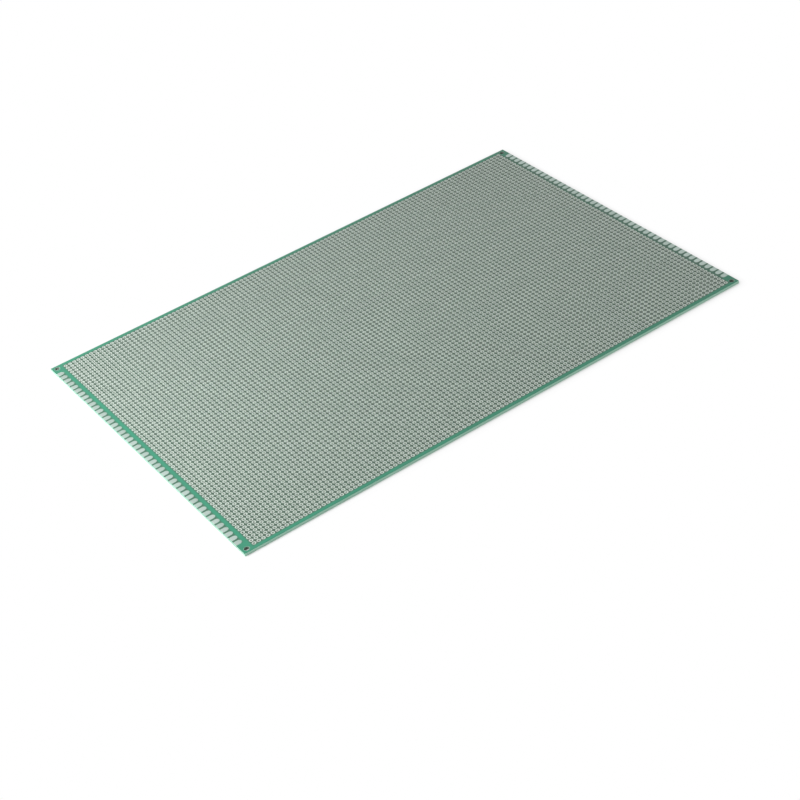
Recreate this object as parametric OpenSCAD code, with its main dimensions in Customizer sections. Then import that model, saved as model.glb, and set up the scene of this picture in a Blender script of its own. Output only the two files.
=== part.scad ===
// Bare circuit board: a flat glass-fibre panel with a grid of tinned pads on its
// top face, a row of edge fingers along each short side and a hole in each corner.
// The panel lies flat, top face up. The origin is the middle of its underside,
// X runs along the long sides and Y along the short ones.

/* [Board] */
// Length of the panel, along X
board_l = 300; // [150:1:400]
// Width of the panel, along Y
board_w = 200; // [80:1:300]
// Thickness of the bare laminate
laminate_t = 1.5; // [0.8:0.1:3.1]

/* [Coats] */
// Thickness of the solder mask
mask_t = 0.05; // [0.02:0.01:0.1]
// Thickness of the tinned copper
tin_t = 0.05; // [0.02:0.01:0.1]
// Bare laminate between tinned copper and the edge of its window in the mask
mask_clear = 0.1; // [0.05:0.01:0.15]

/* [Pad grid] */
// Width of a pad
pad_w = 2.1; // [1.5:0.05:2.4]
// Mask between a pad and the next one, along X and along Y
pad_gap = 0.44; // [0.4:0.01:2]
// Diameter of the hole drilled through a pad
drill_d = 1; // [0.7:0.05:1.3]
// One pad in this many, along X and along Y, is drilled in this plain model of the board
drill_every = 19; // [16:1:60]
// Left edge to the middle of the first column of pads
left_margin = 7.15; // [6:0.05:12]
// Least room from the middle of the last column to the right edge
right_room = 5.8; // [5.8:0.05:12]
// Least room from the middle of an outer row to the long edge beside it
side_room = 3.4; // [2.5:0.05:12]

/* [Edge fingers] */
// Distance from finger to finger, along Y
finger_pitch = 4.06; // [3.5:0.01:8]
// Width of a finger
finger_w = 2.8; // [1.5:0.05:3]
// Length of a finger, from its square outer end to its round inner end
finger_l = 3.45; // [2.5:0.05:3.8]
// Bare strip between the short edge and a finger's outer end
finger_set_back = 0.25; // [0.1:0.05:0.5]
// Front long edge to the middle of the first finger
finger_start = 9.1; // [8:0.05:12]
// Least room from the middle of the last finger to the rear long edge
finger_end_room = 8; // [8:0.05:12]

/* [Corner holes] */
// Diameter of a corner hole
corner_d = 2.7; // [2:0.1:3.2]
// Middle of a corner hole to both edges beside it
corner_inset = 2.6; // [2.5:0.05:2.8]
// Width of the bare ring that the mask leaves round a corner hole
corner_ring = 0.2; // [0.1:0.05:0.5]

/* [Hidden] */

// Sides of a full circle: of the corner holes, of their openings in the mask, of the
// holes through pads, and of the ends of the fingers
hole_facets = 32;
opening_facets = 12;
drill_facets = 8;
tip_facets = 8;
laminate_green = "#cddbc0";
mask_green = "#58a487";
tin_grey = "#cdd5ce";

// How far a cutter runs past the face that it cuts through
over = 1;

// Distance from pad to pad, which is a tenth of an inch at the default sizes
pitch = pad_w + pad_gap;

// The pads that fit on the panel. Columns start at the left margin, rows are centred.
pad_cols = floor((board_l - left_margin - right_room) / pitch) + 1;
pad_rows_count = floor((board_w - 2 * side_room) / pitch) + 1;
first_col = left_margin - board_l / 2;
first_row = -(pad_rows_count - 1) * pitch / 2;
row_l = (pad_cols - 1) * pitch + pad_w;

// The drilled pads, a whole number of pads apart, with the rest shared out at the ends
drill_step = round(drill_every);
drill_cols = floor((pad_cols - 1) / drill_step) + 1;
drill_rows = floor((pad_rows_count - 1) / drill_step) + 1;
drill_first_col = floor((pad_cols - 1 - (drill_cols - 1) * drill_step) / 2);
drill_first_row = floor((pad_rows_count - 1 - (drill_rows - 1) * drill_step) / 2);

// The bars of mask between columns, which lie on the rows and end on the mask's border
bar_l = pad_rows_count * pitch;
bar_z = laminate_t + max(mask_t, tin_t);

// The fingers that fit along a short side
finger_count = floor((board_w - finger_start - finger_end_room) / finger_pitch) + 1;
finger_tip = finger_set_back + finger_l;

// Places its children at each of the four corner holes
module at_corners() {
    for (side = [-1, 1], end = [-1, 1])
        translate([side * (board_l / 2 - corner_inset), end * (board_w / 2 - corner_inset), 0])
            children();
}

// Places its children at the middle of each row of pads
module at_rows() {
    for (row = [0 : pad_rows_count - 1])
        translate([first_col, first_row + row * pitch, 0])
            children();
}

// Places its children at the middle of each drilled pad
module at_drills() {
    for (col = [0 : drill_cols - 1], row = [0 : drill_rows - 1])
        translate([first_col + (drill_first_col + col * drill_step) * pitch,
                   first_row + (drill_first_row + row * drill_step) * pitch, 0])
            children();
}

// A hole through a pad, from under the panel to above it
module drill() {
    translate([0, 0, -over])
        cylinder(d = drill_d, h = bar_z + 2 * over, $fn = drill_facets);
}

// Places its children at each finger of the left side, on the edge of the panel
module at_fingers() {
    for (finger = [0 : finger_count - 1])
        translate([-board_l / 2, finger_start - board_w / 2 + finger * finger_pitch, 0])
            children();
}

// A flat plate of the panel's own outline
module plate(thickness) {
    translate([-board_l / 2, -board_w / 2, 0])
        cube([board_l, board_w, thickness]);
}

// One row of pads as a strip, grown on all sides by a clearance
module row_strip(grow, thickness) {
    translate([-pad_w / 2 - grow, -pad_w / 2 - grow, 0])
        cube([row_l + 2 * grow, pad_w + 2 * grow, thickness]);
}

// One finger along X from its outer end to its round tip, grown sideways by a clearance
module finger(outer, grow, thickness) {
    r = finger_w / 2 + grow;
    round_at = finger_tip + grow - r;
    linear_extrude(thickness)
        union() {
            translate([outer, -r])
                square([round_at - outer, 2 * r]);
            translate([round_at, 0])
                circle(r = r, $fn = tip_facets);
        }
}

// The glass-fibre panel, drilled at its corners and through pads
module laminate() {
    color(laminate_green)
        difference() {
            plate(laminate_t);
            at_drills() drill();
            at_corners()
                translate([0, 0, -over])
                    cylinder(d = corner_d, h = laminate_t + 2 * over, $fn = hole_facets);
        }
}

// The green coat, open over the rows, over the fingers and round the corner holes
module solder_mask() {
    cut = mask_t + 2 * over;
    color(mask_green)
        translate([0, 0, laminate_t])
            difference() {
                plate(mask_t);
                translate([0, 0, -over]) {
                    at_rows() row_strip(mask_clear, cut);
                    at_fingers() finger(-over, mask_clear, cut);
                    mirror([1, 0, 0]) at_fingers() finger(-over, mask_clear, cut);
                    at_corners()
                        cylinder(d = corner_d + 2 * corner_ring, h = cut, $fn = opening_facets);
                }
            }
}

// The coat's cross bars, which part each row of tinned copper into its pads
module mask_bars() {
    color(mask_green)
        for (col = [1 : pad_cols - 1])
            translate([first_col + (col - 0.5) * pitch - pad_gap / 2, -bar_l / 2, bar_z])
                cube([pad_gap, bar_l, mask_t]);
}

// The tinned copper of the pad grid, one strip to a row
module pad_rows() {
    color(tin_grey)
        difference() {
            translate([0, 0, laminate_t])
                at_rows() row_strip(0, tin_t);
            at_drills() drill();
        }
}

// The tinned fingers along the left side
module left_fingers() {
    color(tin_grey)
        translate([0, 0, laminate_t])
            at_fingers() finger(finger_set_back, 0, tin_t);
}

// The tinned fingers along the right side
module right_fingers() {
    color(tin_grey)
        translate([0, 0, laminate_t])
            mirror([1, 0, 0]) at_fingers() finger(finger_set_back, 0, tin_t);
}

laminate();
solder_mask();
mask_bars();
pad_rows();
left_fingers();
right_fingers();
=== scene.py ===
"""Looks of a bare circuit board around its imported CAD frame.

The board is drilled glass-epoxy laminate with a solder mask, a grid of tinned pads
round the drilled holes, and tinned fingers along both short sides. The properties are
in metres, as Blender's own are. Shapes are worked out in millimetres, which make_piece
turns to metres, and materials turn theirs with MM.
"""

import math

import bpy
import numpy as np
from bpy.props import FloatProperty, FloatVectorProperty, PointerProperty, StringProperty
from mathutils import Matrix, Vector


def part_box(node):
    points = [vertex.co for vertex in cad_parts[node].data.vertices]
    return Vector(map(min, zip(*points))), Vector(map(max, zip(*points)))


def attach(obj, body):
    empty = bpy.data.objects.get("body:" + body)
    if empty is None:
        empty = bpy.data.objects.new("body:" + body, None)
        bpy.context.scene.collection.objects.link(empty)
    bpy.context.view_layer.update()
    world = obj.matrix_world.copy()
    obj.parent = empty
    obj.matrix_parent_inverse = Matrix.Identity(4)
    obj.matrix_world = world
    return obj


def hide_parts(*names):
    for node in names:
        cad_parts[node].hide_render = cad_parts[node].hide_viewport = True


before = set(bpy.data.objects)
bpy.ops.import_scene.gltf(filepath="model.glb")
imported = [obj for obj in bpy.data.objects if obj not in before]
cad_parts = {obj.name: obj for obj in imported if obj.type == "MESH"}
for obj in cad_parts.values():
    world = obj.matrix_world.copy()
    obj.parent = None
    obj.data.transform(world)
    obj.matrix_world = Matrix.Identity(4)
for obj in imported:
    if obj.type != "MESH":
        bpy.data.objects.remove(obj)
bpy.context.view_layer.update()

bl_info = {
    "name": "Bare circuit board",
    "version": (1, 0, 0),
    "blender": (4, 5, 0),
    "location": "3D View > Sidebar > Board",
    "description": "Drilled laminate, solder mask, tinned pads and edge fingers",
    "category": "Object",
}

MM = 0.001
BODY = "root"
SIDES = ("left", "right")

# Corners of an outline that stands for a circle: few where it comes thousands of times
PAD_CORNERS = 8
HOLE_CORNERS = 32
# Steps of the half circle at a finger's tip
TIP_STEPS = 8
# A finger's tin: shares of the way in from its outline, and of the height reached there
FINGER_DOME = [(0.0, 0.0), (0.05, 0.7), (0.35, 1.0)]
# Points that agree to this, in mm, are one point, and triangles under this area, in
# square mm, are left out
GRAIN = 1e-4
LEAST_AREA = 1e-6
# Edges that turn by more degrees than this stay sharp
SHARP_FROM = 60.0
# Share of the bake's map that is left free along its border
MAP_MARGIN = 0.004
# Half the width of the edge between two tones of a material, in mm
SOFT_EDGE = 0.4
# A Mix node's two colours among its inputs, and their mix among its outputs
FIRST, SECOND, MIXED = 6, 7, 2


def node_box(node):
    """The lowest and the highest corner of a CAD node, in millimetres."""
    low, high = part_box(node)
    return np.array(low) / MM, np.array(high) / MM


# ---------------------------------------------------------------- sizes and colours


class BoardSizes(bpy.types.PropertyGroup):
    """Sizes of what is finer than the CAD frame. The frame gives all the others."""

    pad_d: FloatProperty(
        name="Pad diameter", description="Across a round pad",
        default=2.1 * MM, unit="LENGTH", precision=5)
    pitch: FloatProperty(
        name="Pad pitch", description="From pad to pad, a tenth of an inch",
        default=2.54 * MM, unit="LENGTH", precision=5)
    drill_d: FloatProperty(
        name="Drilled hole", description="Diameter of the hole through each pad",
        default=1.0 * MM, unit="LENGTH", precision=5)
    crown_d: FloatProperty(
        name="Crown diameter", description="Across the highest line of a pad's tin",
        default=1.6 * MM, unit="LENGTH", precision=5)
    finger_pitch: FloatProperty(
        name="Finger pitch", description="From finger to finger",
        default=4.06 * MM, unit="LENGTH", precision=5)
    mask_clear: FloatProperty(
        name="Mask clearance", description="Bare laminate between a finger and the mask",
        default=0.1 * MM, unit="LENGTH", precision=5)
    corner_d: FloatProperty(
        name="Corner hole", description="Diameter of a corner hole",
        default=2.7 * MM, unit="LENGTH", precision=5)
    corner_inset: FloatProperty(
        name="Corner inset", description="Middle of a corner hole to both edges beside it",
        default=2.6 * MM, unit="LENGTH", precision=5)
    corner_ring: FloatProperty(
        name="Corner ring", description="Bare ring that the mask leaves round a corner hole",
        default=0.2 * MM, unit="LENGTH", precision=5)


class BoardFinish(bpy.types.PropertyGroup):
    """Colours of the board's materials, as sRGB hex values, and how metallic its tin is."""

    laminate: StringProperty(
        name="Laminate", description="Cured glass-epoxy laminate", default="#96c0ac")
    laminate_thread: StringProperty(
        name="Glass thread", description="Laminate over a thread of its cloth",
        default="#a1cbb7")
    drilled: StringProperty(
        name="Drilled wall", description="Scorched wall of a hole through a pad",
        default="#bac8bc")
    # Wall of a corner hole: painted shade, darker than the walls of the holes through the pads
    corner_wall_shade: StringProperty(
        name="Corner hole's wall",
        description="Wall of a corner hole, burnt by its wide drill", default="#75857a")
    mask_border: StringProperty(
        name="Mask on bare laminate", description="Solder mask with light behind it",
        default="#32886b")
    # Mask between the pads: painted shade, darker than the same coat on the border
    mask_painted_shade: StringProperty(
        name="Mask between pads", description="Solder mask in the gaps of the pad grid",
        default="#435c4c")
    # The tin colours are the grey of the tin with a green tint, which is painted reflection of
    # the green surroundings
    tin: StringProperty(
        name="Tin", description="Levelled tin on copper", default="#ccd7cf")
    tin_dull: StringProperty(
        name="Dull tin", description="Tin with the dullest skin", default="#bac7be")
    finger: StringProperty(
        name="Finger tin", description="Thinner tin on the edge fingers", default="#bacbc4")
    finger_dull: StringProperty(
        name="Dull finger tin", description="Finger tin with the dullest skin",
        default="#a9bcb3")
    pad_metal: FloatProperty(
        name="Pad metal", description="Share of a pad's tin that shines as clean metal",
        default=0.3, min=0.0, max=1.0, subtype="FACTOR")
    finger_metal: FloatProperty(
        name="Finger metal", description="Share of a finger's tin that shines as clean metal",
        default=0.6, min=0.0, max=1.0, subtype="FACTOR")


class BoardStage(bpy.types.PropertyGroup):
    """Where the camera and the lamps stand, and how bright the studio is."""

    target: FloatVectorProperty(
        name="Camera target", description="Point on the top face that the camera faces",
        default=(-33.46 * MM, -56.56 * MM, 1.6 * MM), unit="LENGTH", precision=5)
    distance: FloatProperty(
        name="Camera distance", description="From the target to the camera",
        default=928.5 * MM, unit="LENGTH")
    azimuth: FloatProperty(
        name="Camera azimuth", description="Turn round the board, from the front",
        default=math.radians(-28.937), subtype="ANGLE")
    elevation: FloatProperty(
        name="Camera elevation", description="Height above the horizon",
        default=math.radians(36.510), subtype="ANGLE")
    roll: FloatProperty(
        name="Camera roll", description="Lean of the camera about its own line of sight",
        default=math.radians(-9.991), subtype="ANGLE")
    lens: FloatProperty(
        name="Focal length", description="Focal length in mm on a 36 mm sensor",
        default=85.137)
    sky: FloatProperty(
        name="Soft light", description="Strength of the light from all round",
        default=0.2)
    key: FloatProperty(
        name="Key light", description="Power of the soft lamp on the left",
        default=2.2, subtype="POWER")
    key_side: FloatProperty(
        name="Key lamp's side", description="Side of the square lamp on the left",
        default=300 * MM, unit="LENGTH")
    key_place: FloatVectorProperty(
        name="Key lamp's place", description="Middle of the lamp on the left",
        default=(-360 * MM, 60 * MM, 240 * MM), unit="LENGTH")
    fill: FloatProperty(
        name="Fill light", description="Power of the low lamp in front",
        default=3.8, subtype="POWER")
    fill_side: FloatProperty(
        name="Fill lamp's side", description="Side of the square lamp in front",
        default=600 * MM, unit="LENGTH")
    fill_place: FloatVectorProperty(
        name="Fill lamp's place", description="Middle of the lamp in front",
        default=(350 * MM, -900 * MM, 150 * MM), unit="LENGTH")
    paper: StringProperty(
        name="Paper", description="White paper of the floor", default="#f2f2f2")
    paper_side: FloatProperty(
        name="Paper's side", description="Side of the square floor",
        default=6000 * MM, unit="LENGTH")
    shade_reach: FloatProperty(
        name="Shade's reach", description="How far the floor's own shade shows round the board",
        default=5 * MM, unit="LENGTH")


GROUPS = {"board_sizes": BoardSizes, "board_finish": BoardFinish, "board_stage": BoardStage}


# ---------------------------------------------------------------- flat nets of cells


def line(x, y):
    """Points with the given X and Y, either of which may be one number."""
    return np.stack(np.broadcast_arrays(np.asarray(x, float), np.asarray(y, float)), 1)


def lifted(points, height):
    """Flat points at one height."""
    return np.column_stack([points, np.full(len(points), float(height))])


def copies(pattern, count, size):
    """A pattern of triangles for each of a number of like groups of points."""
    first = np.arange(count)[:, None, None] * size
    return (pattern[None] + first).reshape(-1, 3)


def circle_corners(count):
    """Corners of a regular outline with the area of the unit circle, the first of them
    half a step past X: they lie sqrt(pi / (n/2 * sin(2 pi / n))) from the middle."""
    turn = 2 * math.pi / count
    reach = math.sqrt(math.pi / (count / 2 * math.sin(turn)))
    angle = turn * (np.arange(count) + 0.5)
    return reach * line(np.cos(angle), np.sin(angle))


def outline_cell(outline, corner_of):
    """The triangles between a cell's four corners and a window in it.

    Points 0 to 3 are the corners, anticlockwise from the right rear one, and the
    window's points follow in the same turn, corner_of naming the corner nearest
    each. Each step along the window makes a triangle with the corner that it comes
    to, and each change of corner makes one with the side between the two corners.
    """
    corner = np.asarray(corner_of)
    here = np.arange(len(corner))
    ahead = (here + 1) % len(corner)
    steps = np.stack([corner[ahead], ahead + 4, here + 4], 1)
    sides = np.stack([corner, corner[ahead], here + 4], 1)[corner != corner[ahead]]
    return np.asarray(outline, float), np.concatenate([steps, sides])


def round_window(radius, count):
    """A round window with a number of corners that four divides."""
    return outline_cell(radius * circle_corners(count), np.repeat(np.arange(4), count // 4))


def square_window(half):
    """A square window, from its middle to a side."""
    outline = half * np.array([(1, 1), (-1, 1), (-1, -1), (1, -1)])
    return outline_cell(outline, np.arange(4))


def cells(low, high, middle, window):
    """Cells from low to high corner, each with the same window about its middle."""
    outline, pattern = window
    low, high, middle = (np.atleast_2d(np.asarray(a, float)) for a in (low, high, middle))
    corners = np.stack([
        high,
        line(low[:, 0], high[:, 1]),
        low,
        line(high[:, 0], low[:, 1]),
    ], 1)
    windows = middle[:, None] + outline[None]
    points = np.concatenate([corners, windows], 1)
    return points.reshape(-1, 2), copies(pattern, len(low), points.shape[1])


def zipped(a, b):
    """The triangles between two lines of points that run the same way.

    The lines' edges are taken in the order of their middles, and each makes a
    triangle with the point that the other line has come to. The second line is on
    the right of the first.
    """
    a, b = np.asarray(a, float), np.asarray(b, float)
    along = (b[-1] - b[0]) / np.linalg.norm(b[-1] - b[0])
    middles = np.concatenate([(a[1:] + a[:-1]) / 2 @ along, (b[1:] + b[:-1]) / 2 @ along])
    on_b = np.argsort(middles, kind="stable") >= len(a) - 1
    i = np.cumsum(~on_b) - ~on_b
    j = np.cumsum(on_b) - on_b + len(a)
    triangles = np.stack([i, j, np.where(on_b, j + 1, i + 1)], 1)
    return np.concatenate([a, b]), triangles


def flipped(part, x):
    """A net mirrored in the line at X, with its triangles turned to face up again."""
    points, triangles = part
    return points * (-1, 1) + (2 * x, 0), triangles[:, ::-1]


def welded(parts):
    """One net from several: points of one grain are made one, and triangles of next to
    no area, (b - a) x (c - a) / 2, are left out."""
    points = np.concatenate([p for p, _ in parts])
    starts = np.cumsum([0] + [len(p) for p, _ in parts[:-1]])
    triangles = np.concatenate([t + s for (_, t), s in zip(parts, starts)])
    _, first, same = np.unique(
        np.round(points / GRAIN).astype(np.int64), axis=0,
        return_index=True, return_inverse=True)
    points, triangles = points[first], same.reshape(-1)[triangles]
    a, b, c = (points[triangles[:, k]] for k in range(3))
    area = np.cross(b - a, c - a) / 2
    return points, triangles[area > LEAST_AREA]


def plate(points, triangles, bottom, top, wall_room):
    """A flat net made into a closed plate between two heights.

    Its underside is the net turned over, and a wall of two triangles stands on each
    edge that only one triangle has. Returns points, triangles and a plan for the
    bake's map: each corner's X and Y, but for the lower corners of a wall, which lie
    off the net by what wall_room gives, in the empty room beside the wall's edge.
    """
    n = len(points)
    edges = triangles[:, [0, 1, 1, 2, 2, 0]].reshape(-1, 2)
    key = np.sort(edges, 1) @ np.array([n, 1])
    _, at, times = np.unique(key, return_index=True, return_counts=True)
    a, b = edges[at[times == 1]].T
    walls = np.concatenate([np.stack([a, a + n, b + n], 1), np.stack([a, b + n, b], 1)])
    solid = np.concatenate([lifted(points, top), lifted(points, bottom)])
    faces = np.concatenate([triangles, triangles[:, ::-1] + n, walls])

    flow = points[b] - points[a]
    outward = line(flow[:, 1], -flow[:, 0]) / np.linalg.norm(flow, axis=1)[:, None]
    off = outward * wall_room(points[a])[:, None]
    plan = solid[:, :2][faces]
    # A wall's first triangle has two lower corners, its last, and its second has one
    plan[-2 * len(a):-len(a), 1:] += off[:, None]
    plan[-len(a):, 1] += off
    return solid, faces, plan


# ---------------------------------------------------------------- closed small shapes


def stacked(plans, heights):
    """Points from rows of X and Y, each row at its own height."""
    heights = np.broadcast_to(np.asarray(heights)[:, None, None], (*plans.shape[:2], 1))
    return np.concatenate([plans, heights], -1).reshape(-1, 3)


def skin(rows, around, closed):
    """The triangles over rows of points that each go round, from every row to the
    next, and from the last row to the first where the shape is closed so."""
    row, at = np.indices((rows if closed else rows - 1, around)).reshape(2, -1)
    above, ahead = (row + 1) % rows, (at + 1) % around
    here, on = row * around + at, row * around + ahead
    up, on_up = above * around + at, above * around + ahead
    return np.concatenate([np.stack([here, on, on_up], 1), np.stack([here, on_up, up], 1)])


def placed(shape, pattern, places):
    """A shape copied to places, from its points and its triangles."""
    points = (lifted(places, 0)[:, None] + shape[None]).reshape(-1, 3)
    return points, copies(pattern, len(places), len(shape))


def tin_rings(centres, profile):
    """Rings about the centres: a closed profile of (radius, height) pairs, in the
    order outer, top, inner, carried round each centre."""
    radius, heights = np.array(profile).T
    plans = radius[:, None, None] * circle_corners(PAD_CORNERS)[None]
    pattern = skin(len(radius), PAD_CORNERS, closed=True)
    return placed(stacked(plans, heights), pattern, centres)


def tin_fingers(layout, side):
    """Domed fingers along a short side.

    Each ring of a finger is its outline drawn towards its middle line by a share of
    the way, at the height that FINGER_DOME gives. The highest ring and the lowest
    each close on a point at the finger's middle.
    """
    low, high = layout.finger_boxes[side]
    length, width = layout.finger_size(side)
    outline = finger_outline(0, length, width)
    shares, rises = np.array(FINGER_DOME).T
    spine = line(np.clip(outline[:, 0], width / 2, length - width / 2), 0)
    plans = outline[None] + shares[:, None, None] * (spine - outline)[None]
    heights = layout.laminate_top + rises * (layout.tin_top - layout.laminate_top)
    middles = [(length / 2, 0, layout.tin_top), (length / 2, 0, layout.laminate_top)]
    shape = np.concatenate([stacked(plans, heights), middles])

    rows, around = plans.shape[:2]
    highest = (rows - 1) * around
    top, bottom = rows * around, rows * around + 1
    here = np.arange(around)
    ahead = (here + 1) % around
    pattern = np.concatenate([
        skin(rows, around, closed=False),
        np.stack([highest + here, highest + ahead, np.full(around, top)], 1),
        np.stack([ahead, here, np.full(around, bottom)], 1),
    ])
    if side == "right":
        shape, pattern = shape * (-1, 1, 1), pattern[:, ::-1]
    start = low[0] if side == "left" else high[0]
    return placed(shape, pattern, line(start, layout.fingers(side)))


# ---------------------------------------------------------------- the board's layout


class Layout:
    """Where everything is on the board, in millimetres, from the frame's boxes."""

    def __init__(self, sizes):
        for name in BoardSizes.__annotations__:
            setattr(self, name, getattr(sizes, name) / MM)
        low, high = node_box("laminate")
        self.low, self.high = low[:2], high[:2]
        self.laminate_top = high[2]
        self.mask_top = node_box("solder_mask")[1][2]
        self.tin_top = node_box("mask_bars")[1][2]
        rows_low, rows_high = node_box("pad_rows")
        self.first = (rows_low + self.pad_d / 2)[:2]
        span = (rows_high - rows_low)[:2] - self.pad_d
        self.count = np.round(span / self.pitch).astype(int) + 1
        self.block_low = self.first - self.pitch / 2
        self.block_high = self.block_low + self.count * self.pitch
        self.finger_boxes = {side: node_box(side + "_fingers") for side in SIDES}
        self.finger_reach = self.finger_boxes["left"][1][0] - self.low[0]
        self.corner_room = self.finger_boxes["left"][0][1] - self.low[1]

    def column_lines(self):
        """X of the lines between the columns of pads, with both ends."""
        return self.block_low[0] + np.arange(self.count[0] + 1) * self.pitch

    def row_lines(self):
        """Y of the lines between the rows of pads, with both ends."""
        return self.block_low[1] + np.arange(self.count[1] + 1) * self.pitch

    def pads(self, first_col, last_col):
        """The middles of the pads of some columns, the last one not among them."""
        x, y = np.meshgrid(np.arange(first_col, last_col), np.arange(self.count[1]))
        return self.first + line(x.ravel(), y.ravel()) * self.pitch

    def fingers(self, side):
        """The Y of each finger's middle along one short side."""
        low, high = self.finger_boxes[side]
        width = self.finger_size(side)[1]
        count = round((high[1] - low[1] - width) / self.finger_pitch) + 1
        return low[1] + width / 2 + np.arange(count) * self.finger_pitch

    def finger_size(self, side):
        """Length and width of one finger: the width is what the row of them, a whole
        number of pitches and one width long, leaves over."""
        low, high = self.finger_boxes[side]
        return high[0] - low[0], (high[1] - low[1]) % self.finger_pitch


def finger_outline(outer, tip, width):
    """A finger's outline along X, anticlockwise from the right of its round tip: half
    a circle about (tip - width/2, 0), then the two corners of the square outer end."""
    r = width / 2
    angle = np.linspace(-math.pi / 2, math.pi / 2, TIP_STEPS + 1)
    arc = line(tip - r + r * np.cos(angle), r * np.sin(angle))
    half = TIP_STEPS // 2
    return np.concatenate([arc[half:], [(outer, r), (outer, -r)], arc[:half]])


def finger_window(layout, side):
    """The mask's window round a finger, open to the board's edge, about X = edge."""
    low, high = layout.finger_boxes[side]
    width = layout.finger_size(side)[1]
    tip = high[0] - layout.low[0] if side == "left" else layout.high[0] - low[0]
    outline = finger_outline(0, tip + layout.mask_clear, width + 2 * layout.mask_clear)
    half = TIP_STEPS // 2
    return outline_cell(outline, [0] * (half + 1) + [1, 2] + [3] * half)


def short_side(layout, side, corner_window, with_fingers):
    """The border of a short side: a corner cell, the fingers' cells or one plain
    stretch, another corner cell, and a zipped strip that meets the pad grid.

    It is worked out for the left side, and mirrored for the right one.
    """
    edge = layout.low[0]
    block = layout.block_low[0]
    if side == "right":
        block = edge + (layout.high[0] - layout.block_high[0])
    inset = layout.corner_inset
    # The cells end half way between the corner hole's ring and the grid of pads
    ring_end = edge + inset + layout.corner_d / 2 + layout.corner_ring
    inner = (ring_end + block) / 2
    y0, y1 = layout.low[1], layout.high[1]
    middles = layout.fingers(side)
    half = layout.finger_pitch / 2
    low_y, high_y = middles[0] - half, middles[-1] + half
    parts = [
        cells((edge, y0), (inner, low_y), (edge + inset, y0 + inset), corner_window),
        cells((edge, high_y), (inner, y1), (edge + inset, y1 - inset), corner_window),
    ]
    if with_fingers:
        parts.append(cells(line(edge, middles - half), line(inner, middles + half),
                           line(edge, middles), finger_window(layout, side)))
        stops = np.append(middles - half, high_y)
    else:
        stops = np.array([low_y, high_y])
        parts.append(zipped(line(edge, stops), line(inner, stops)))
    outer = np.concatenate([[y0], stops, [y1]])
    grid = np.concatenate([[y0], layout.row_lines(), [y1]])
    parts.append(zipped(line(inner, outer), line(block, grid)))
    if side == "right":
        parts = [flipped(part, 0) for part in parts]
    return parts


def half_net(layout, side, pad_window, corner_window, with_fingers):
    """Half of the board as one flat net: the cells of its pads, the plain margins
    along both long sides, and the border of its short side."""
    middle = layout.count[0] // 2
    first, last = (0, middle) if side == "left" else (middle, layout.count[0])
    pads = layout.pads(first, last)
    half = layout.pitch / 2
    x = layout.column_lines()[first:last + 1]
    y0, y1 = layout.low[1], layout.high[1]
    rows = layout.row_lines()
    return welded([
        cells(pads - half, pads + half, pads, pad_window),
        zipped(line(x, rows[0]), line(x, y0)),
        zipped(line(x, y1), line(x, rows[-1])),
        *short_side(layout, side, corner_window, with_fingers),
    ])


def wall_rooms(layout, hole, edge):
    """A function that gives how far off its edge a wall lies in the bake's map, by where
    it stands: one distance in a hole or window, another on the board's own outline."""
    def room(at):
        inside = np.minimum(at - layout.low, layout.high - at).min(1)
        return np.where(inside < GRAIN, edge, hole)
    return room


# ---------------------------------------------------------------- pieces and materials


def linear(hex_colour):
    """An sRGB hex colour as linear red, green, blue and alpha: c / 12.92 up to
    0.04045, and ((c + 0.055) / 1.055) ** 2.4 above it."""
    srgb = np.array([int(hex_colour[i:i + 2], 16) / 255 for i in (1, 3, 5)])
    rgb = np.where(srgb <= 0.04045, srgb / 12.92, ((srgb + 0.055) / 1.055) ** 2.4)
    return (*rgb, 1.0)


def add(tree, kind, links=None, inputs=None, **settings):
    """Adds a node. Settings are its attributes, inputs its sockets' own values and
    links their sources, each under the socket's number or name."""
    node = tree.nodes.new("ShaderNode" + kind)
    for name, value in settings.items():
        setattr(node, name, value)
    for key, value in (inputs or {}).items():
        node.inputs[key].default_value = value
    for key, source in (links or {}).items():
        tree.links.new(source, node.inputs[key])
    return node


def new_material(name):
    """A material with an empty tree but for its output."""
    material = bpy.data.materials.new(name)
    material.use_nodes = True
    tree = material.node_tree
    tree.nodes.clear()
    return material, tree, add(tree, "OutputMaterial")


def make_piece(name, points, faces, material, plan=None):
    """A mesh object at the origin from millimetre points and triangles.

    The bake's map is the plan view, each corner's X and Y scaled to the piece's own
    extent, unless another plan is given.
    """
    mesh = bpy.data.meshes.new(name)
    mesh.vertices.add(len(points))
    mesh.vertices.foreach_set("co", (points * MM).astype(np.float32).ravel())
    mesh.loops.add(faces.size)
    mesh.loops.foreach_set("vertex_index", faces.astype(np.int32).ravel())
    mesh.polygons.add(len(faces))
    mesh.polygons.foreach_set("loop_start", np.arange(0, faces.size, 3, dtype=np.int32))
    plan = points[:, :2][faces] if plan is None else plan
    plan = plan.reshape(-1, 2)
    low, high = plan.min(0), plan.max(0)
    uv = MAP_MARGIN + (plan - low) / (high - low) * (1 - 2 * MAP_MARGIN)
    layer = mesh.uv_layers.new(name="OFBake")
    layer.data.foreach_set("uv", uv.astype(np.float32).ravel())
    mesh.update(calc_edges=True)
    mesh.validate()
    mesh.shade_smooth()
    mesh.set_sharp_from_angle(angle=math.radians(SHARP_FROM))
    mesh.materials.append(material)
    piece = bpy.data.objects.new(name, mesh)
    bpy.context.scene.collection.objects.link(piece)
    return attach(piece, BODY)


def wave(tree, source, spacing):
    """A smooth wave along one coordinate: 0.5 + 0.5 * sin(2 pi x / spacing)."""
    turns = add(tree, "Math", {0: source}, {1: 2 * math.pi / (spacing * MM)},
                operation="MULTIPLY")
    sine = add(tree, "Math", {0: turns.outputs[0]}, operation="SINE")
    return add(tree, "Math", {0: sine.outputs[0]}, {1: 0.5, 2: 0.5},
               operation="MULTIPLY_ADD").outputs[0]


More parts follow.
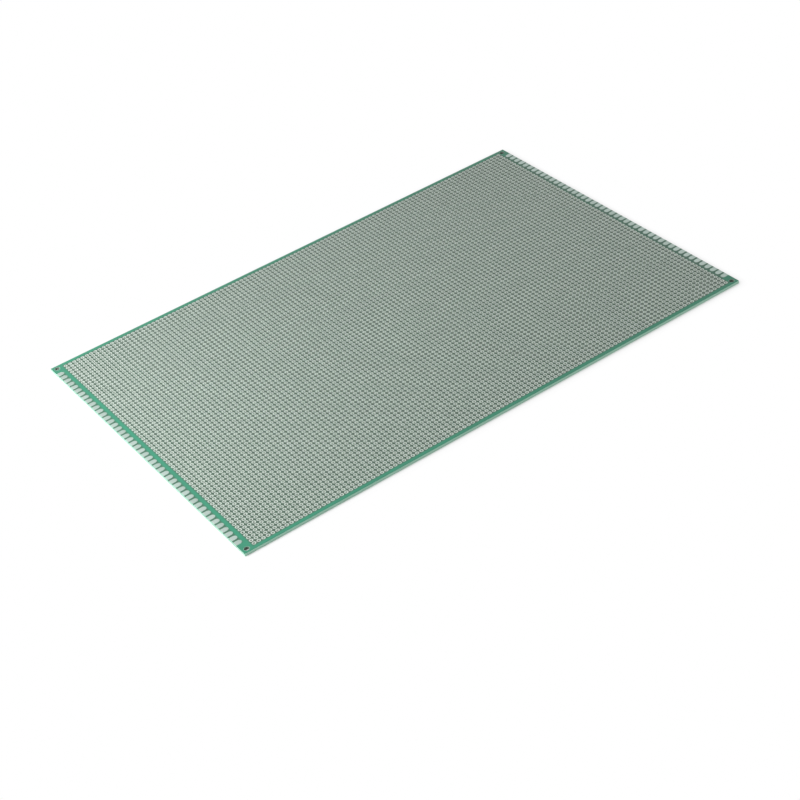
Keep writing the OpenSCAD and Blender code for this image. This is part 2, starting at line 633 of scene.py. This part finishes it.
def inside_box(tree, place, low, high):
    """A field that is 1 inside a box in plan and 0 outside: the greater of
    |x - middle| - half and |y - middle| - half, turned round over a soft edge."""
    middle, half = (high + low) / 2 * MM, (high - low) / 2 * MM
    from_middle = add(tree, "VectorMath", {0: place}, {1: (*middle, 0.0)},
                      operation="SUBTRACT")
    away = add(tree, "VectorMath", {0: from_middle.outputs[0]}, operation="ABSOLUTE")
    past = add(tree, "VectorMath", {0: away.outputs[0]}, {1: (*half, 0.0)},
               operation="SUBTRACT")
    x, y = add(tree, "SeparateXYZ", {0: past.outputs[0]}).outputs[:2]
    worst = add(tree, "Math", {0: x, 1: y}, operation="MAXIMUM")
    return add(tree, "MapRange", {"Value": worst.outputs[0]},
               {"From Min": -SOFT_EDGE * MM, "From Max": SOFT_EDGE * MM,
                "To Min": 1.0, "To Max": 0.0}).outputs[0]


def glass_epoxy(finish, layout):
    """Pressed, sawn and drilled glass-epoxy laminate. Its cloth shows as a faint cross
    weave on the flat faces and its plies as lines along the sawn edges. The walls of the
    holes through its pads are scorched and dull, and those of its corner holes are darker
    with painted shade."""
    material, tree, out = new_material("pressed_glass_epoxy_laminate")
    place = add(tree, "TexCoord").outputs["Object"]
    x, y, z = add(tree, "SeparateXYZ", {0: place}).outputs[:3]
    # Threads of the cloth: 0.6 mm warp and 0.8 mm weft; 8 plies of 0.19 mm
    warp, weft, ply = wave(tree, x, 0.6), wave(tree, y, 0.8), wave(tree, z, 0.19)
    weave = add(tree, "Math", {0: warp, 1: weft}, operation="MULTIPLY").outputs[0]
    normal = add(tree, "NewGeometry").outputs["True Normal"]
    up = add(tree, "SeparateXYZ", {0: normal}).outputs[2]
    flat = add(tree, "Math", {0: up}, operation="ABSOLUTE").outputs[0]
    thread = add(tree, "Mix", {"Factor": flat, "A": ply, "B": weave},
                 data_type="FLOAT").outputs["Result"]
    # Clouds in the resin, 9 mm across
    cloud = add(tree, "TexNoise", {"Vector": place}, {"Scale": 1 / (9 * MM), "Detail": 3.0})
    worn = add(tree, "Math", {0: thread, 1: cloud.outputs["Fac"]},
               operation="MULTIPLY").outputs[0]
    resin = add(tree, "Mix", {"Factor": worn}, data_type="RGBA",
                inputs={FIRST: linear(finish.laminate),
                        SECOND: linear(finish.laminate_thread)})
    # Faces that stand upright inside the outline, and clear of it by a rim wider than the
    # soft edge, are the walls of holes: pale ones under the grid of pads and, at the board's
    # corners, dark ones whose tone is painted shade
    grid = inside_box(tree, place, layout.block_low, layout.block_high)
    wall = add(tree, "Mix", {"Factor": grid}, data_type="RGBA",
               inputs={FIRST: linear(finish.corner_wall_shade), SECOND: linear(finish.drilled)})
    rim = 1.5 * SOFT_EDGE
    within = inside_box(tree, place, layout.low + rim, layout.high - rim)
    upright = add(tree, "Math", {1: flat}, {0: 1.0}, operation="SUBTRACT")
    in_hole = add(tree, "Math", {0: within, 1: upright.outputs[0]}, operation="MULTIPLY")
    colour = add(tree, "Mix", {"Factor": in_hole.outputs[0], FIRST: resin.outputs[MIXED],
                               SECOND: wall.outputs[MIXED]}, data_type="RGBA")
    # Roughness is 0.58 in the resin and less by up to 0.12 over a thread
    rough = add(tree, "Math", {0: worn}, {1: -0.12, 2: 0.58}, operation="MULTIPLY_ADD")
    bump = add(tree, "Bump", {"Height": thread}, {"Strength": 0.25, "Distance": 0.01 * MM})
    shader = add(tree, "BsdfPrincipled",
                 {"Base Color": colour.outputs[MIXED], "Roughness": rough.outputs[0],
                  "Normal": bump.outputs[0]}, {"IOR": 1.55})
    tree.links.new(shader.outputs[0], out.inputs["Surface"])
    return material


def solder_mask_lacquer(finish, layout):
    """Curtain-coated and light-cured epoxy lacquer, half gloss. It is darker with painted
    shade between the pads and between the fingers, standing for the light that copper keeps
    out of the laminate behind it, and a slow mottle shows where the coat is thicker."""
    material, tree, out = new_material("cured_solder_mask_lacquer")
    place = add(tree, "TexCoord").outputs["Object"]
    # Painted shade: dark in the pad grid and, by a share of that, between the left fingers
    # and all over the right border, away from the key lamp, but for the corners
    side_share = 0.75
    room = np.array([0.0, layout.corner_room])
    left_tips = np.array([layout.low[0] + layout.finger_reach, layout.high[1]])
    right_pads = np.array([layout.block_high[0], layout.low[1]])
    grid = inside_box(tree, place, layout.block_low, layout.block_high)
    left = inside_box(tree, place, layout.low + room, left_tips - room)
    right = inside_box(tree, place, right_pads + room, layout.high - room)
    sides = add(tree, "Math", {0: left, 1: right}, operation="MAXIMUM")
    sides = add(tree, "Math", {0: sides.outputs[0]}, {1: side_share}, operation="MULTIPLY")
    painted_shade = add(tree, "Math", {0: grid, 1: sides.outputs[0]}, operation="MAXIMUM")
    coat = add(tree, "Mix", {"Factor": painted_shade.outputs[0]}, data_type="RGBA",
               inputs={FIRST: linear(finish.mask_border), SECOND: linear(finish.mask_painted_shade)})
    # Mottle of the coat's thickness, 14 mm across: 7 % to both sides of the colour
    mottle = add(tree, "TexNoise", {"Vector": place},
                 {"Scale": 1 / (14 * MM), "Detail": 4.0, "Roughness": 0.6}).outputs["Fac"]
    depth = add(tree, "MapRange", {"Value": mottle},
                {"From Min": 0.3, "From Max": 0.7, "To Min": 0.93, "To Max": 1.07})
    tone = add(tree, "HueSaturation",
               {"Color": coat.outputs[MIXED], "Value": depth.outputs[0]})
    rough = add(tree, "MapRange", {"Value": mottle},
                {"From Min": 0.3, "From Max": 0.7, "To Min": 0.34, "To Max": 0.46})
    # Orange peel of the coat, 0.5 mm across
    peel = add(tree, "TexNoise", {"Vector": place}, {"Scale": 1 / (0.5 * MM), "Detail": 2.0})
    bump = add(tree, "Bump", {"Height": peel.outputs["Fac"]},
               {"Strength": 0.2, "Distance": 0.01 * MM})
    shader = add(tree, "BsdfPrincipled",
                 {"Base Color": tone.outputs[0], "Roughness": rough.outputs[0],
                  "Normal": bump.outputs[0]}, {"IOR": 1.5})
    tree.links.new(shader.outputs[0], out.inputs["Surface"])
    return material


def levelled_tin(name, bright, dull, metal, first, step):
    """Hot-air-levelled tin on copper, bright where it is clean and greyer with its
    skin. Each pad has cooled to its own tone, and a fine grain of dross keeps the
    metal from being a mirror. first is the corner that the pads' cells are counted
    from, and step a cell's two sides, in millimetres."""
    material, tree, out = new_material(name)
    place = add(tree, "TexCoord").outputs["Object"]
    # One random tone to each cell of the grid
    cell = add(tree, "VectorMath", {0: place}, {1: (first[0] * MM, first[1] * MM, 0.0)},
               operation="SUBTRACT")
    cell = add(tree, "VectorMath", {0: cell.outputs[0]},
               {1: (step[0] * MM, step[1] * MM, 1.0)}, operation="DIVIDE")
    cell = add(tree, "VectorMath", {0: cell.outputs[0]}, operation="FLOOR")
    own = add(tree, "TexWhiteNoise", {"Vector": cell.outputs[0]}, noise_dimensions="2D")
    # Smears of the hot air, 0.9 mm across
    smear = add(tree, "TexNoise", {"Vector": place}, {"Scale": 1 / (0.9 * MM), "Detail": 3.0})
    dullness = add(tree, "Math", {0: own.outputs["Value"], 1: smear.outputs["Fac"]},
                   operation="MULTIPLY").outputs[0]
    # Both colours carry a green tint that is painted reflection of the tin's green surroundings
    colour = add(tree, "Mix", {"Factor": dullness}, data_type="RGBA",
                 inputs={FIRST: linear(bright), SECOND: linear(dull)})
    # Roughness is 0.34 where the tin is bright, and more by up to 0.25 where it is dull
    rough = add(tree, "Math", {0: dullness}, {1: 0.25, 2: 0.34}, operation="MULTIPLY_ADD")
    # Grain of the dross, drawn as coarse as 0.25 mm so that it shows
    grain = add(tree, "TexNoise", {"Vector": place},
                {"Scale": 1 / (0.25 * MM), "Detail": 2.0})
    bump = add(tree, "Bump", {"Height": grain.outputs["Fac"]},
               {"Strength": 0.25, "Distance": 0.01 * MM})
    shader = add(tree, "BsdfPrincipled",
                 {"Base Color": colour.outputs[MIXED], "Roughness": rough.outputs[0],
                  "Normal": bump.outputs[0]}, {"Metallic": metal})
    tree.links.new(shader.outputs[0], out.inputs["Surface"])
    return material


# ---------------------------------------------------------------- floor, light, camera


def seen_white(tree, out, surface, share=None):
    """Shows a surface as plain white to the camera, to gloss and through clear things,
    wholly or by a share, and leaves it as it is for the light that it gives the board."""
    path = add(tree, "LightPath").outputs
    seen = add(tree, "Math", {0: path["Is Camera Ray"], 1: path["Is Glossy Ray"]},
               operation="MAXIMUM")
    seen = add(tree, "Math", {0: seen.outputs[0], 1: path["Is Transmission Ray"]},
               operation="MAXIMUM")
    if share is not None:
        seen = add(tree, "Math", {0: seen.outputs[0], 1: share}, operation="MULTIPLY")
    kind = "Background" if surface.bl_idname == "ShaderNodeBackground" else "Emission"
    white = add(tree, kind, inputs={"Color": (1, 1, 1, 1), "Strength": 1.0})
    mixed = add(tree, "MixShader", {0: seen.outputs[0], 1: surface.outputs[0],
                                    2: white.outputs[0]})
    tree.links.new(mixed.outputs[0], out.inputs["Surface"])


def paper_floor(stage):
    """A square of white paper under the board. It is plain white where it lies open and
    takes its own shade close to the board: none of it where the open sky above a point
    is whole, and all of it where no more than 0.4 of the sky is open."""
    material, tree, out = new_material("white_paper_floor")
    paper = add(tree, "BsdfDiffuse", inputs={"Color": linear(stage.paper)})
    open_sky = add(tree, "AmbientOcclusion", inputs={"Distance": stage.shade_reach})
    share = add(tree, "MapRange", {"Value": open_sky.outputs["AO"]}, {"From Min": 0.4})
    seen_white(tree, out, paper, share.outputs[0])
    corners = np.array([(-1, -1), (1, -1), (1, 1), (-1, 1)]) * stage.paper_side / 2
    mesh = bpy.data.meshes.new("paper_floor")
    mesh.from_pydata(lifted(corners, 0).tolist(), [], [(0, 1, 2, 3)])
    mesh.materials.append(material)
    floor = bpy.data.objects.new("paper_floor", mesh)
    bpy.context.scene.collection.objects.link(floor)


def soft_world(stage):
    """Even light from all round, seen as plain white."""
    world = bpy.data.worlds.new("soft_studio")
    world.use_nodes = True
    tree = world.node_tree
    tree.nodes.clear()
    out = add(tree, "OutputWorld")
    sky = add(tree, "Background", inputs={"Color": (1, 1, 1, 1), "Strength": stage.sky})
    seen_white(tree, out, sky)
    bpy.context.scene.world = world


def soft_lamp(name, power, side, place):
    """A square lamp that faces the middle of the board. Gloss shows the white studio
    and not the lamp, so low views have no glare."""
    lamp = bpy.data.lights.new(name, "AREA")
    lamp.shape, lamp.size, lamp.energy = "SQUARE", side, power
    lit = bpy.data.objects.new(name, lamp)
    lit.location = place
    lit.rotation_euler = (-lit.location).to_track_quat("-Z", "Y").to_euler()
    lit.visible_glossy = False
    bpy.context.scene.collection.objects.link(lit)


def stand_camera(stage):
    """The camera, back from its target by its distance along the line that azimuth
    and elevation give, facing the target and rolled about that line."""
    camera = bpy.data.cameras.new("camera")
    camera.sensor_width, camera.lens = 36.0, stage.lens
    camera.clip_start, camera.clip_end = 0.01, 20.0
    az, el = stage.azimuth, stage.elevation
    back = Vector((math.sin(az) * math.cos(el), -math.cos(az) * math.cos(el), math.sin(el)))
    facing = (-back).to_track_quat("-Z", "Y").to_matrix()
    turn = facing @ Matrix.Rotation(stage.roll, 3, "Z")
    place = Vector(stage.target) + back * stage.distance
    eye = bpy.data.objects.new("camera", camera)
    eye.matrix_world = Matrix.Translation(place) @ turn.to_4x4()
    bpy.context.scene.collection.objects.link(eye)
    bpy.context.scene.camera = eye


# ---------------------------------------------------------------- operators


def layout_and_finish(context):
    """The board's layout and its finish, from the scene's properties."""
    return Layout(context.scene.board_sizes), context.scene.board_finish


class BOARD_OT_laminate(bpy.types.Operator):
    """Makes the drilled laminate, in two halves"""

    bl_idname = "board.laminate"
    bl_label = "Drilled laminate"

    def execute(self, context):
        layout, finish = layout_and_finish(context)
        material = glass_epoxy(finish, layout)
        drill = round_window(layout.drill_d / 2, PAD_CORNERS)
        corner = round_window(layout.corner_d / 2, HOLE_CORNERS)
        room = wall_rooms(layout, hole=0.3 * layout.drill_d, edge=1.2)
        for side in SIDES:
            net = half_net(layout, side, drill, corner, with_fingers=False)
            points, faces, plan = plate(*net, 0.0, layout.laminate_top, room)
            piece = make_piece("drilled_laminate_" + side, points, faces, material, plan)
            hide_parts("laminate")
        return {"FINISHED"}


class BOARD_OT_mask(bpy.types.Operator):
    """Makes the solder mask, in two halves"""

    bl_idname = "board.mask"
    bl_label = "Solder mask"

    def execute(self, context):
        layout, finish = layout_and_finish(context)
        material = solder_mask_lacquer(finish, layout)
        # The window's rim lies under the pad's tin, clear of the drilled hole
        under_pad = square_window(layout.pad_d / 3)
        corner = round_window(layout.corner_d / 2 + layout.corner_ring, HOLE_CORNERS)
        room = wall_rooms(layout, hole=0.1, edge=0.4)
        for side in SIDES:
            net = half_net(layout, side, under_pad, corner, with_fingers=True)
            points, faces, plan = plate(*net, layout.laminate_top, layout.mask_top, room)
            piece = make_piece("solder_mask_coat_" + side, points, faces, material, plan)
            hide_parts("solder_mask", "mask_bars")
        return {"FINISHED"}


class BOARD_OT_pads(bpy.types.Operator):
    """Makes the tinned pads, in three blocks of columns"""

    bl_idname = "board.pads"
    bl_label = "Tinned pads"

    def execute(self, context):
        layout, finish = layout_and_finish(context)
        material = levelled_tin("hot_air_levelled_tin_pads", finish.tin, finish.tin_dull,
                                finish.pad_metal, layout.block_low,
                                (layout.pitch, layout.pitch))
        profile = [
            (layout.pad_d / 2, layout.mask_top),
            (layout.crown_d / 2, layout.tin_top),
            (layout.drill_d / 2, layout.laminate_top),
        ]
        blocks = ("left", "middle", "right")
        ends = np.linspace(0, layout.count[0], len(blocks) + 1).round().astype(int)
        for name, first, last in zip(blocks, ends[:-1], ends[1:]):
            points, faces = tin_rings(layout.pads(first, last), profile)
            piece = make_piece("tinned_pads_" + name, points, faces, material)
            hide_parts("pad_rows")
        return {"FINISHED"}


class BOARD_OT_fingers(bpy.types.Operator):
    """Makes the tinned edge fingers of both short sides"""

    bl_idname = "board.fingers"
    bl_label = "Edge fingers"

    def execute(self, context):
        layout, finish = layout_and_finish(context)
        first = layout.fingers("left")[0] - layout.finger_pitch / 2
        # A cell is half the board long, so that both sides have tones of their own
        material = levelled_tin("hot_air_levelled_tin_fingers", finish.finger,
                                finish.finger_dull, finish.finger_metal,
                                (layout.low[0], first),
                                (layout.high[0], layout.finger_pitch))
        for side in SIDES:
            points, faces = tin_fingers(layout, side)
            piece = make_piece("tinned_fingers_" + side, points, faces, material)
            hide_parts(side + "_fingers")
        return {"FINISHED"}


class BOARD_OT_stage(bpy.types.Operator):
    """Makes the floor, the light and the camera"""

    bl_idname = "board.stage"
    bl_label = "Floor, light and camera"

    def execute(self, context):
        stage = context.scene.board_stage
        context.scene.view_settings.view_transform = "Standard"
        paper_floor(stage)
        soft_world(stage)
        soft_lamp("soft_key", stage.key, stage.key_side, stage.key_place)
        soft_lamp("soft_fill", stage.fill, stage.fill_side, stage.fill_place)
        stand_camera(stage)
        return {"FINISHED"}


OPERATORS = (BOARD_OT_laminate, BOARD_OT_mask, BOARD_OT_pads, BOARD_OT_fingers, BOARD_OT_stage)


class BOARD_PT_sidebar(bpy.types.Panel):
    """The board's sizes, finishes and stage, and a button for each step"""

    bl_idname = "BOARD_PT_sidebar"
    bl_label = "Bare circuit board"
    bl_space_type = "VIEW_3D"
    bl_region_type = "UI"
    bl_category = "Board"

    def draw(self, context):
        for group_name in GROUPS:
            group = getattr(context.scene, group_name)
            box = self.layout.box()
            for name in type(group).__annotations__:
                box.prop(group, name)
        for operator in OPERATORS:
            self.layout.operator(operator.bl_idname)


CLASSES = (*GROUPS.values(), *OPERATORS, BOARD_PT_sidebar)


def register():
    """Registers the classes and hangs the property groups on the scene."""
    for cls in CLASSES:
        bpy.utils.register_class(cls)
    for name, group in GROUPS.items():
        setattr(bpy.types.Scene, name, PointerProperty(type=group))


def unregister():
    """Takes the property groups and the classes away again."""
    for name in GROUPS:
        delattr(bpy.types.Scene, name)
    for cls in reversed(CLASSES):
        bpy.utils.unregister_class(cls)


def main():
    """Makes every piece and the stage."""
    register()
    for operator in OPERATORS:
        group, name = operator.bl_idname.split(".")
        getattr(getattr(bpy.ops, group), name)()


if __name__ == "__main__":
    main()
